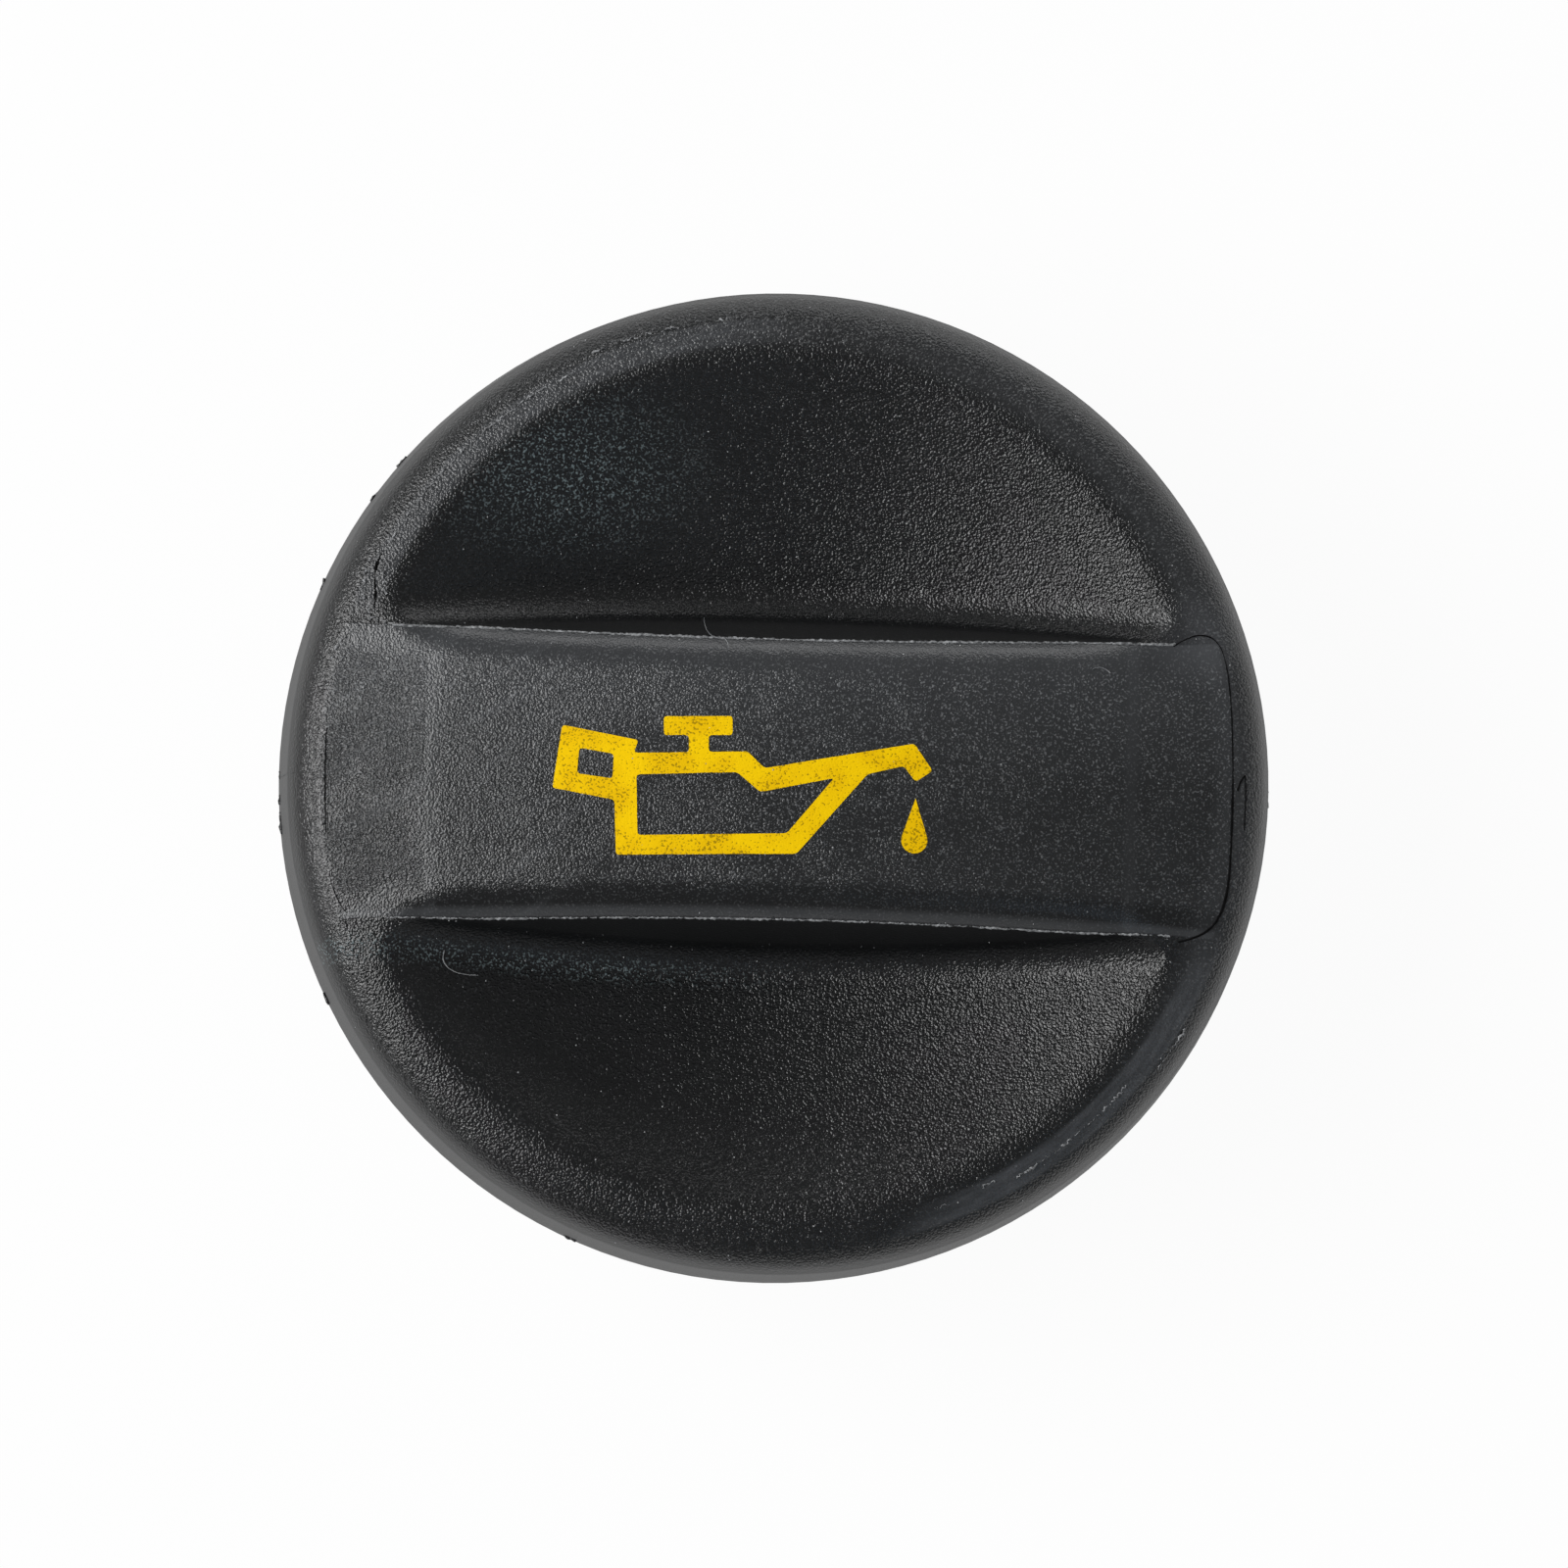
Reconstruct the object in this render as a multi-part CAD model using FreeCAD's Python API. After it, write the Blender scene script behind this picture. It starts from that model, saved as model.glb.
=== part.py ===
import FreeCAD, Part
import math
import os

V = FreeCAD.Vector

# Engine oil filler cap. Z is the turning axis, Z = 0 the sealing plane, X runs along the grip bar.

# Outside of the cap
cap_radius = 32.0
skirt_bottom_z = -2.4
skirt_draft_deg = 4.5
wall = 2.4
shoulder_run = 2.6
crease_z = 6.4
end_slope_deg = 14.0
crown_radius = 140.0
end_run = 8.0
crown_blend_radius = 22.0

# Grip bar and finger scoops
bar_half_width = 8.55
bar_edge_lip = 0.3
bar_draft_deg = 16.0
scoop_radius = 69.0
rim_land = 1.9
foot_round = 2.2
edge_round = 3.5

# Underside
seat_z = 2.7
seat_width = 5.4
relief_z = 3.8
relief_width = 2.2
relief_draft = 0.1
spigot_bottom_z = -4.0
spigot_wall = 2.0
spigot_chamfer = 0.6
ring_groove_depth = 0.3
moat_width = 1.7
moat_top_z = 0.4
plug_bottom_z = -17.0
plug_wall = 2.5
plug_chamfer = 0.6

# Quarter-turn lugs and ribs
lug_count = 2
lug_clearance = 0.3
lug_arc_deg = 50.0
lug_bottom_z = -16.0
lug_top_z = -11.4
lug_ramp_deg = 3.5
lug_chamfer = 0.8
lug_end_round = 1.2
stop_arc_deg = 9.0
stop_setback = 0.8
root_bite = 1.0
moat_rib_count = 12
moat_rib_width = 1.2
moat_rib_bottom_z = -2.6
bar_rib_width = 1.6
bar_rib_pitch = 10.0
bar_rib_count = 3
bar_rib_bottom_z = 1.5

# Sealing ring
ring_bore_gap = 0.1
ring_outer_gap = 0.4
ring_chamfer = 0.5

# Sizes that follow from the ones above
far = 200.0
end_slope = math.radians(end_slope_deg)
skirt_draft = math.radians(skirt_draft_deg)
bar_draft = math.radians(bar_draft_deg)
crease_radius = cap_radius - shoulder_run
scoop_edge_radius = crease_radius - rim_land
crown_edge_radius = crease_radius - end_run
skirt_inner = cap_radius - wall
seat_outer_radius = skirt_inner - relief_width
ring_groove_radius = seat_outer_radius - seat_width
spigot_radius = ring_groove_radius + ring_groove_depth
spigot_bore = spigot_radius - spigot_wall
plug_radius = spigot_bore - moat_width
plug_bore = plug_radius - plug_wall
lug_radius = spigot_radius - lug_clearance


def at_angle(centre, radius, angle):
    return (centre[0] + radius * math.sin(angle), centre[1] + radius * math.cos(angle))


# The crown's arc, a short blend and the sloping end meet tangentially on the way out to the crease
crown_edge_angle = math.asin(crown_edge_radius / crown_radius)
blend_turn = end_slope - crown_edge_angle
blend_run = crown_blend_radius * (math.sin(end_slope) - math.sin(crown_edge_angle))
blend_drop = crown_blend_radius * (math.cos(crown_edge_angle) - math.cos(end_slope))
slope_start_radius = crown_edge_radius + blend_run
slope_start_z = crease_z + (crease_radius - slope_start_radius) * math.tan(end_slope)
crown_edge_z = slope_start_z + blend_drop
crown_centre_z = crown_edge_z - crown_radius * math.cos(crown_edge_angle)
bar_top_z = crown_centre_z + crown_radius
blend_centre = (crown_edge_radius - crown_blend_radius * math.sin(crown_edge_angle),
                crown_edge_z - crown_blend_radius * math.cos(crown_edge_angle))

# The shoulder rolls from the crease into the drafted skirt wall
wall_angle = math.pi / 2 - skirt_draft


def shoulder_gap(radius):
    end_r = crease_radius + radius * (math.sin(wall_angle) - math.sin(end_slope))
    end_z = crease_z - radius * (math.cos(end_slope) - math.cos(wall_angle))
    return end_r + (end_z - skirt_bottom_z) * math.tan(skirt_draft) - cap_radius


low, high = 0.5, 8.0
for step in range(60):
    shoulder_radius = (low + high) / 2
    if shoulder_gap(shoulder_radius) < 0:
        low = shoulder_radius
    else:
        high = shoulder_radius
shoulder_centre = (crease_radius - shoulder_radius * math.sin(end_slope),
                   crease_z - shoulder_radius * math.cos(end_slope))
wall_top = at_angle(shoulder_centre, shoulder_radius, wall_angle)

# The scoops are one bowl about the axis that meets the sloping end at the scoop's edge
scoop_edge_z = crease_z + (crease_radius - scoop_edge_radius) * math.tan(end_slope)
scoop_centre_z = scoop_edge_z + math.sqrt(scoop_radius ** 2 - scoop_edge_radius ** 2)


def point(p):
    return V(p[0], 0, p[1])


def line(a, b):
    return Part.makeLine(point(a), point(b))


def arc(centre, radius, a0, a1):
    mid = at_angle(centre, radius, (a0 + a1) / 2)
    ends = [point(at_angle(centre, radius, a)) for a in (a0, a1)]
    return Part.Arc(ends[0], point(mid), ends[1]).toShape()


def sector(points, degrees):
    corners = points + [points[0]]
    edges = [line(a, b) for a, b in zip(corners, corners[1:])]
    face = Part.Face(Part.Wire(edges))
    return face.revolve(V(0, 0, 0), V(0, 0, 1), degrees)


# Outer form and underside as a quarter turn of one profile
outside = [
    arc((0, crown_centre_z), crown_radius, 0, crown_edge_angle),
    arc(blend_centre, crown_blend_radius, crown_edge_angle, end_slope),
    line((slope_start_radius, slope_start_z), (crease_radius, crease_z)),
    arc(shoulder_centre, shoulder_radius, end_slope, wall_angle),
]
underside = [
    wall_top,
    (cap_radius, skirt_bottom_z),
    (skirt_inner, skirt_bottom_z),
    (skirt_inner - 2 * relief_draft, relief_z),
    (seat_outer_radius + relief_draft, relief_z),
    (seat_outer_radius, seat_z),
    (ring_groove_radius, seat_z),
    (ring_groove_radius, 0),
    (spigot_radius, 0),
    (spigot_radius, spigot_bottom_z + spigot_chamfer),
    (spigot_radius - spigot_chamfer, spigot_bottom_z),
    (spigot_bore, spigot_bottom_z),
    (spigot_bore, moat_top_z),
    (plug_radius, moat_top_z),
    (plug_radius, plug_bottom_z + plug_chamfer),
    (plug_radius - plug_chamfer, plug_bottom_z),
    (0, plug_bottom_z),
    (0, bar_top_z),
]
profile = outside + [line(a, b) for a, b in zip(underside, underside[1:])]
profile_face = Part.Face(Part.Wire(Part.__sortEdges__(profile)))
quarter = profile_face.revolve(V(0, 0, 0), V(0, 0, 1), 90)


def scoop_tool(grow, half_width):
    bowl = Part.makeSphere(scoop_radius + grow, V(0, 0, scoop_centre_z))
    reach = Part.makeCylinder(cap_radius + grow, far, V(0, 0, plug_bottom_z), V(0, 0, 1), 90)
    flank = Part.makeBox(far, far, 2 * far, V(0, 0, -far))
    flank.rotate(V(0, 0, 0), V(1, 0, 0), bar_draft_deg)
    flank.translate(V(0, half_width, bar_top_z))
    return reach.common(flank).common(bowl)


def middle(edge):
    return edge.valueAt((edge.FirstParameter + edge.LastParameter) / 2)


# Finger scoop with its foot rolled into the bar's flank
def rolled_scoop(half_width):
    tool = scoop_tool(0, half_width)

    def on_bowl(p):
        return abs((p - V(0, 0, scoop_centre_z)).Length - scoop_radius) < 0.01

    def on_flank(p):
        return abs(p.y - half_width - (bar_top_z - p.z) * math.tan(bar_draft)) < 0.01

    foot = [e for e in tool.Edges if on_bowl(middle(e)) and on_flank(middle(e))][0]
    return tool.makeFillet(foot_round, [foot])


quarter = quarter.cut(rolled_scoop(bar_half_width + bar_edge_lip))


# Rolled edge along the bar, round the scoop's corner and along the rim
def top_z(radius):
    if radius <= crown_edge_radius:
        return crown_centre_z + math.sqrt(crown_radius ** 2 - radius ** 2)
    if radius <= slope_start_radius:
        return blend_centre[1] + math.sqrt(crown_blend_radius ** 2 - (radius - blend_centre[0]) ** 2)
    return crease_z + (crease_radius - radius) * math.tan(end_slope)


def on_top(p):
    radius = math.hypot(p.x, p.y)
    return radius < crease_radius - rim_land / 2 and abs(p.z - top_z(radius)) < 0.01


def along(edge):
    span = edge.LastParameter - edge.FirstParameter
    return [edge.valueAt(edge.FirstParameter + span * k / 4) for k in range(5)]


boundary = []
for e in quarter.Edges:
    spots = along(e)
    if all(on_top(p) for p in spots) and spots[2].x > 0.01 and spots[2].y > 0.01:
        boundary.append(e)
quarter = quarter.makeFillet(edge_round, boundary)

# The mould's parting edge cuts the roll off along the bar and leaves it crisp
quarter = quarter.cut(rolled_scoop(bar_half_width))

# Hollow of the plug and bar, one wall or more inside the crown, the flanks and the scoops
core_height = top_z(plug_bore) - wall - plug_bottom_z
core = Part.makeCylinder(plug_bore, core_height, V(0, 0, plug_bottom_z), V(0, 0, 1), 90)
core = core.cut(scoop_tool(wall, bar_half_width - wall))
for i in range(bar_rib_count):
    x = (i - (bar_rib_count - 1) / 2) * bar_rib_pitch - bar_rib_width / 2
    rib = Part.makeBox(bar_rib_width, far, core_height, V(x, -far / 2, bar_rib_bottom_z))
    core = core.cut(rib)
quarter = quarter.cut(core)
half = quarter.fuse(quarter.mirror(V(0, 0, 0), V(1, 0, 0)))
body = half.fuse(half.mirror(V(0, 0, 0), V(0, 1, 0)))

# Quarter-turn lugs on the plug: a ramp on top and a stop at its high end
root_radius = plug_radius - root_bite
ramp_rise = lug_radius * math.sin(math.radians(lug_arc_deg / 2)) * math.tan(math.radians(lug_ramp_deg))
lug = sector([
    (root_radius, lug_bottom_z),
    (lug_radius - lug_chamfer, lug_bottom_z),
    (lug_radius, lug_bottom_z + lug_chamfer),
    (lug_radius, lug_top_z + ramp_rise),
    (root_radius, lug_top_z + ramp_rise),
], lug_arc_deg)
lug.rotate(V(0, 0, 0), V(0, 0, 1), 90 - lug_arc_deg / 2)
ramp = Part.makeBox(far, far, far, V(-far / 2, 0, lug_top_z))
ramp.rotate(V(0, 0, lug_top_z), V(0, 1, 0), -lug_ramp_deg)
lug = lug.cut(ramp)
lug_ends = [e for e in lug.Edges if abs(math.hypot(middle(e).x, middle(e).y) - lug_radius) < 0.01
            and abs(along(e)[0].x - along(e)[4].x) < 0.01]
lug = lug.makeFillet(lug_end_round, lug_ends)
stop = sector([
    (root_radius, lug_bottom_z + lug_chamfer),
    (lug_radius - stop_setback, lug_bottom_z + lug_chamfer),
    (lug_radius - stop_setback, spigot_bottom_z + spigot_chamfer),
    (root_radius, spigot_bottom_z + spigot_chamfer),
], stop_arc_deg)
stop.rotate(V(0, 0, 0), V(0, 0, 1), 90 - lug_arc_deg / 2)
additions = []
for i in range(lug_count):
    for piece in (lug, stop):
        turned = piece.copy()
        turned.rotate(V(0, 0, 0), V(0, 0, 1), 360 * i / lug_count)
        additions.append(turned)

# Short ribs tie the spigot ring to the plug
for i in range(moat_rib_count):
    rib = Part.makeBox(moat_width + 2 * root_bite, moat_rib_width, moat_top_z - moat_rib_bottom_z + root_bite,
                       V(plug_radius - root_bite, -moat_rib_width / 2, moat_rib_bottom_z))
    rib.rotate(V(0, 0, 0), V(0, 0, 1), 360 * (i + 0.5) / moat_rib_count)
    additions.append(rib)
body = body.fuse(additions).removeSplitter().Solids[0]

# Sealing ring, seated against the flange and held by the step below its groove
ring_bore = ring_groove_radius + ring_bore_gap
ring_outer = seat_outer_radius - ring_outer_gap
ring = sector([
    (ring_bore + ring_chamfer, 0),
    (ring_outer - ring_chamfer, 0),
    (ring_outer, ring_chamfer),
    (ring_outer, seat_z - ring_chamfer),
    (ring_outer - ring_chamfer, seat_z),
    (ring_bore + ring_chamfer, seat_z),
    (ring_bore, seat_z - ring_chamfer),
    (ring_bore, ring_chamfer),
], 360)

os.makedirs("parts", exist_ok=True)
body.exportStep("parts/cap_body.step")
ring.exportStep("parts/sealing_ring.step")
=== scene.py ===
import math
from functools import partial
import bmesh
import bpy
from mathutils import Matrix, Vector
from mathutils.bvhtree import BVHTree


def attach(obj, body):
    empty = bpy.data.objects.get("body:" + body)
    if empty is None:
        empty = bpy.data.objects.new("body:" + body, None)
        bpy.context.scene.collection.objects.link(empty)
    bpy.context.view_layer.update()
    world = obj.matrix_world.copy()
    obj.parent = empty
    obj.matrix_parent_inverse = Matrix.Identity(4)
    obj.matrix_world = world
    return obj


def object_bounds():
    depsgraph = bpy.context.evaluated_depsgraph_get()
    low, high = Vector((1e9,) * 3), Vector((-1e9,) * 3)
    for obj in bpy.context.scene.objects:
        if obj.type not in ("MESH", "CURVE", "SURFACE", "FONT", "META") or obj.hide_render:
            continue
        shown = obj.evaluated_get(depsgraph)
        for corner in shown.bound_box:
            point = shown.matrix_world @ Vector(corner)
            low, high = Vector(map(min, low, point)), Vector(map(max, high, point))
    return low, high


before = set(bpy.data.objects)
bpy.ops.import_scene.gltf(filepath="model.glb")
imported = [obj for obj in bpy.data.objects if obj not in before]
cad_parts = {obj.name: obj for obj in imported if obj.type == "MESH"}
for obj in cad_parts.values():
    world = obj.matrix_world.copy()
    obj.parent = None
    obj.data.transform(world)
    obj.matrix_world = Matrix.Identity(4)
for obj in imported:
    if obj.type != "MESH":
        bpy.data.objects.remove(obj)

cadLow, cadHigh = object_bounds()
mm = 0.001
scene = bpy.context.scene
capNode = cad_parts["cap_body"]
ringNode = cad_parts["sealing_ring"]
capMesh = capNode.data
capSurface = BVHTree.FromPolygons([v.co for v in capMesh.vertices],
                                  [p.vertices for p in capMesh.polygons])
print("frame loaded", [round(v / mm, 2) for v in cadHigh - cadLow], "mm")


# the cap's surface straight below a place given in mm
def onCap(x, y):
    return capSurface.ray_cast(Vector((x * mm, y * mm, 1)), Vector((0, 0, -1)))[0]


def srgb(hexText):
    parts = [int(hexText[i:i + 2], 16) / 255 for i in (1, 3, 5)]
    linear = [p / 12.92 if p <= 0.04045 else ((p + 0.055) / 1.055) ** 2.4 for p in parts]
    return (*linear, 1.0)


# adds a node with its settings and links and gives back one of its outputs;
# inputs come in socket order, or in a dictionary by socket name or number
def addNode(tree, kind, *inputs, out=0, **settings):
    node = tree.nodes.new(kind)
    for name, value in settings.items():
        setattr(node, name, value)
    wanted = {}
    for number, value in enumerate(inputs):
        wanted.update(value if isinstance(value, dict) else {number: value})
    for key, value in wanted.items():
        if isinstance(value, bpy.types.NodeSocket):
            tree.links.new(value, node.inputs[key])
        else:
            node.inputs[key].default_value = value
    return node.outputs[out] if node.outputs else node


mathNode, vectorNode, splitNode = "ShaderNodeMath", "ShaderNodeVectorMath", "ShaderNodeSeparateXYZ"
rampNode, mixNode, noiseNode = "ShaderNodeMapRange", "ShaderNodeMix", "ShaderNodeTexNoise"
times = {"operation": "MULTIPLY"}
colours = {"data_type": "RGBA", "out": 2}  # a Mix node for colours: share 0, colours 6 and 7


# an empty material, its node adder, and Object coordinates in mm
def newMaterial(name):
    material = bpy.data.materials.new(name)
    material.use_nodes = True
    material.node_tree.nodes.clear()
    add = partial(addNode, material.node_tree)
    coords = add("ShaderNodeTexCoord", out="Object")
    return material, add, add(vectorNode, {0: coords, "Scale": 1 / mm}, operation="SCALE")


def newPiece(name, mesh, material):
    piece = bpy.data.objects.new(name, mesh)
    scene.collection.objects.link(piece)
    mesh.materials.clear()
    mesh.materials.append(material)
    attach(piece, "root")


# moulded glass-filled nylon with a spark-eroded grain: near black, a dry sheen broken into glints;
# the real grain is about 0.12 mm and is drawn a little coarser so that it shows.
# A ramp is where it starts and ends, then what it gives there if that isn't 0 and 1
nylonLook = {
    "dark": "#0C0D0E", "pale": "#121314", "wornAndLitGrey": "#242526",
    "tip": "#77797B", "chalkAndLight": "#85888D", "bluishSheen": "#92A4A8",
    "ior": 1.53, "roughness": (0.25, 0.6, 0.56, 0.20),  # dull on steep faces, smoother on level ones
    "scoopGrainMm": 0.16, "scoopHeightMm": 0.09, "barGrainMm": 0.145, "barHeightMm": 0.085,
    "mottleMm": 7.0, "mottleFade": (0.35, 0.68), "rubMm": 3.5,
    # the cap's top, and the bar with its rolled edges and two stripes
    "topZ": (1.0, 2.0), "topUpward": (0.1, 0.35),
    "barHalfMm": 8.55, "barTopMm": 9.95, "barDraftDeg": 16.0,
    "barInside": (0.05, 0.15), "barEnd": (29.7, 29.1), "barFront": (0.5, -0.5), "roll": (2.2, 1.1),
    "stripeMm": 22.3, "stripeFade": (0.6, 0.2),
    # the rim's narrow land and its two scuffed stretches, by y - x and y
    "landShift": (10.0, -10.0, 0.0, 0.5), "landFrom": (27.9, 28.2), "landTo": (29.7, 29.5),
    "backLeftSlant": (26.0, 33.0), "backLeftY": (9.5, 11.5),
    "frontRightSlant": (-36.0, -39.5), "frontRightY": (-9.5, -11.5),
    # how high the grain stands
    "frontRightSmooth": 0.35, "smoothGrain": (0.0, 1.0, 1.0, 0.4), "steepGrain": (0.45, 0.85, 0.4, 1.0),
    "rubbedGrain": (0.35, 0.6, 0.7, 1.1), "leftGrain": (-20.0, -25.0, 1.0, 1.5),
    # where hands rub it grey; the rim's back half is greyer as painted light, and the bar's front roll and far
    # left end are kept dark as painted shade
    "rimFrom": (27.4, 28.5), "rimTo": (31.6, 30.0), "rimLean": 0.7, "rimLitHalf": (-8.0, 14.0),
    "shadedRollFrom": (2.2, 1.6), "shadedRollTo": (0.45, 0.8), "shadedRollShare": 0.8,
    "handledRubs": (0.3, 0.7, 0.75, 1.0), "shadedFarLeft": (-21.0, -27.0, 1.0, 0.6),
    # pale tips of the grain: partly rubbed wear, partly painted glints, most on the rim and the bar's back
    # half
    "scoopTips": (0.56, 0.74), "tipShareAndRimGlints": (0.0, 1.0, 0.10, 0.42),
    "barTipsAndGlints": (0.56, 0.72), "backGlintShare": (-2.0, 6.0, 0.48, 0.76),
    # chalky wear, and painted light: the bar's back roll, the rim's right side and a highlight at the back
    # scoop's right corner
    "scuffStretch": (10.325, 2.4), "scuffFade": (0.42, 0.66, 0.6, 1.3),
    "backLeftChalk": 0.13, "frontRightChalk": 0.18, "stripeChalk": 0.03,
    "backRollLitChalk": (0.0, 8.2, 0.0, 0.10), "frontEdgeChalk": (0.7, 0.4, 0.0, 0.10),
    "rubTurnDeg": 36.0, "rubSizeMm": (9.0, 0.9, 9.0), "rubFade": (0.55, 0.72),
    "rubLeft": (-8.0, -16.0, 0.0, 0.07), "rimLitRightChalk": (0.0, 14.0, 0.0, 0.045),
    "cornerMm": (26.6, 9.8), "footHighlightChalk": (3.4, 1.0, 0.0, 0.11),
    # a painted bluish sheen: the reflection of a cool light, painted into the colour
    "sheenCentreMm": (-15.0, 20.0), "sheenReachMm": (11.0, 6.5),
    "sheenFade": (1.0, 0.2), "sheenLand": (28.2, 26.7),
    "footFrom": (-0.7, -1.3), "footTo": (-2.8, -1.9), "footLeft": (2.0, -10.0), "footShare": 0.7,
    "sheenGlints": (0.54, 0.7, 0.0, 0.5),
}


def sparkErodedNylon():
    look = nylonLook
    material, add, place = newMaterial("nylon_spark_eroded_black")
    x, y, z = add(splitNode, place).node.outputs
    upward = add(splitNode, add("ShaderNodeNewGeometry", out="Normal"), out="Z")
    level = add("ShaderNodeCombineXYZ", x, y)
    radius = add(vectorNode, level, operation="LENGTH", out="Value")
    across = add(mathNode, y, operation="ABSOLUTE")
    along = add(mathNode, x, operation="ABSOLUTE")
    top = add(mathNode, add(rampNode, z, *look["topZ"]),
              add(rampNode, upward, *look["topUpward"]), **times)
    # edgeGap is how far a place on the bar lies inside the drafted plane of the nearer flank
    draft = math.tan(math.radians(look["barDraftDeg"]))
    footHalf = look["barHalfMm"] + look["barTopMm"] * draft
    leaning = add(mathNode, z, -draft, footHalf, operation="MULTIPLY_ADD")
    edgeGap = add(mathNode, leaning, across, operation="SUBTRACT")
    bar = add(mathNode, add(rampNode, edgeGap, *look["barInside"]), top, **times)
    bar = add(mathNode, bar, add(rampNode, radius, *look["barEnd"]), **times)
    roll = add(mathNode, add(rampNode, edgeGap, *look["roll"]), bar, **times)
    front = add(rampNode, y, *look["barFront"])
    scoopGrain = add(noiseNode, {"Vector": place, "Scale": 1 / look["scoopGrainMm"], "Detail": 1.0})
    barGrain = add(noiseNode, {"Vector": place, "Scale": 1 / look["barGrainMm"], "Detail": 1.0})
    mottle = add(noiseNode, {"Vector": place, "Scale": 1 / look["mottleMm"], "Detail": 4.0})
    rubbed = add(noiseNode, {"Vector": place, "Scale": 1 / look["rubMm"], "Detail": 3.0, "Roughness": 0.6})

    # the rim's narrow land is scuffed at the back left and, a little further out, at the front right
    slant = add(mathNode, y, x, operation="SUBTRACT")
    landRadius = add(mathNode, radius, add(rampNode, slant, *look["landShift"]), operation="SUBTRACT")
    land = add(mathNode, add(rampNode, landRadius, *look["landFrom"]),
               add(rampNode, landRadius, *look["landTo"]), **times)
    backLeft = add(mathNode, add(rampNode, slant, *look["backLeftSlant"]),
                   add(rampNode, y, *look["backLeftY"]), **times)
    backLeft = add(mathNode, backLeft, land, **times)
    frontRight = add(mathNode, add(rampNode, slant, *look["frontRightSlant"]),
                     add(rampNode, y, *look["frontRightY"]), **times)
    frontRight = add(mathNode, frontRight, land, **times)

    # the bar's stripes and rolled edges, the front right scuff and steep faces are smoother
    offStripe = add(mathNode, along, look["stripeMm"], operation="SUBTRACT")
    offStripe = add(mathNode, offStripe, operation="ABSOLUTE")
    stripe = add(mathNode, add(rampNode, offStripe, *look["stripeFade"]), bar, **times)
    smooth = add(mathNode, frontRight, look["frontRightSmooth"], **times)
    for part in (roll, stripe):
        smooth = add(mathNode, smooth, part, operation="MAXIMUM")
    strength = add(mathNode, add(rampNode, smooth, *look["smoothGrain"]),
                   add(rampNode, upward, *look["steepGrain"]), **times)
    barHeight = add(mathNode, barGrain, look["barHeightMm"], **times)
    barHeight = add(mathNode, barHeight, add(rampNode, rubbed, *look["rubbedGrain"]), **times)
    barHeight = add(mathNode, barHeight, add(rampNode, x, *look["leftGrain"]), **times)
    scoopHeight = add(mathNode, scoopGrain, look["scoopHeightMm"], **times)
    height = add(mixNode, {0: bar, 2: scoopHeight, 3: barHeight})
    bump = add("ShaderNodeBump", {"Strength": strength, "Distance": mm, "Height": height})

    # near black in broad mottles, greyer where hands rub the bar; the rim's back half is greyer as painted
    # light; the bar's front roll and far left end are kept dark as painted shade
    colour = add(mixNode, {0: add(rampNode, mottle, *look["mottleFade"]),
                           6: srgb(look["dark"]), 7: srgb(look["pale"])}, **colours)
    # painted light: the rim's back half, which faces away from the key, is greyed as if lit
    backward = add(mathNode, x, look["rimLean"], y, operation="MULTIPLY_ADD")
    rim = add(mathNode, add(rampNode, radius, *look["rimFrom"]),
              add(rampNode, radius, *look["rimTo"]), **times)
    for part in (add(rampNode, backward, *look["rimLitHalf"]), top):
        rim = add(mathNode, rim, part, **times)
    # painted shade: the bar's front roll, which faces away from the light, is kept out of the grey
    shadedFrontRoll = add(mathNode, add(rampNode, edgeGap, *look["shadedRollFrom"]),
                    add(rampNode, edgeGap, *look["shadedRollTo"]), **times)
    for part in (front, look["shadedRollShare"]):
        shadedFrontRoll = add(mathNode, shadedFrontRoll, part, **times)
    rubbedAndLitGrey = add(mathNode, bar, rim, operation="MAXIMUM")
    # painted shade: less grey towards the bar's far left end, toning down the key's highlight there
    for part in (add(mathNode, 1.0, shadedFrontRoll, operation="SUBTRACT"),
                 add(rampNode, rubbed, *look["handledRubs"]), add(rampNode, x, *look["shadedFarLeft"])):
        rubbedAndLitGrey = add(mathNode, rubbedAndLitGrey, part, **times)
    colour = add(mixNode, {0: rubbedAndLitGrey, 6: colour, 7: srgb(look["wornAndLitGrey"])}, **colours)

    # the tips of the grain are pale: partly rubbed wear, partly painted glints, stronger on the rim and
    # towards the bar's back
    offBar = add(mathNode, 1.0, bar, operation="SUBTRACT")
    tipsAndGlints = add(mathNode, add(rampNode, scoopGrain, *look["scoopTips"]),
               add(rampNode, rim, *look["tipShareAndRimGlints"]), **times)
    barTipsAndGlints = add(mathNode, add(rampNode, barGrain, *look["barTipsAndGlints"]),
                  add(rampNode, y, *look["backGlintShare"]), **times)
    tipsAndGlints = add(mathNode, barTipsAndGlints, bar, add(mathNode, tipsAndGlints, offBar, **times), operation="MULTIPLY_ADD")
    tipsAndGlints = add(mathNode, tipsAndGlints, strength, **times)
    colour = add(mixNode, {0: tipsAndGlints, 6: colour, 7: srgb(look["tip"])}, **colours)

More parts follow.
